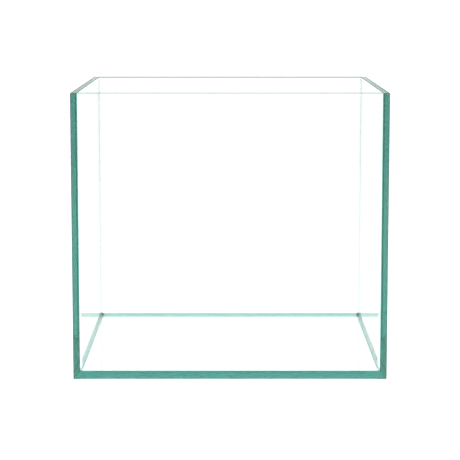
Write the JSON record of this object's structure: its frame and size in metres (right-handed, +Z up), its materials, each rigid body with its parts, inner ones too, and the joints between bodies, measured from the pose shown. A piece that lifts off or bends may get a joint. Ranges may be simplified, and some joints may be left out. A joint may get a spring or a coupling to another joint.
{
  "type": "glass aquarium tank",
  "caption": "Rimless open-topped near-cube aquarium tank of mitred float glass with polished green edges, bonded and sealed with clear silicone.",
  "frame": {"origin": "middle of the underside of the base pane", "axes": "+Z up out of the open top, -Y towards the front pane, +X towards the right pane"},
  "size_m": [0.4, 0.4, 0.365],
  "materials": {
    "polished_glass": "polished",
    "structural_silicone": "satin",
    "clear_silicone": "satin"
  },
  "bodies": {
    "root": {"front_pane": "polished_glass", "back_pane": "polished_glass", "left_pane": "polished_glass", "right_pane": "polished_glass", "base_pane": "polished_glass", "bond_front_left": "structural_silicone", "bond_front_right": "structural_silicone", "bond_back_left": "structural_silicone", "bond_back_right": "structural_silicone", "bond_base_front": "structural_silicone", "bond_base_back": "structural_silicone", "bond_base_left": "structural_silicone", "bond_base_right": "structural_silicone", "seal_front_left": "clear_silicone", "seal_front_right": "clear_silicone", "seal_back_left": "clear_silicone", "seal_back_right": "clear_silicone", "seal_base_front": "clear_silicone", "seal_base_back": "clear_silicone", "seal_base_left": "clear_silicone", "seal_base_right": "clear_silicone"}
  },
  "joints": []
}
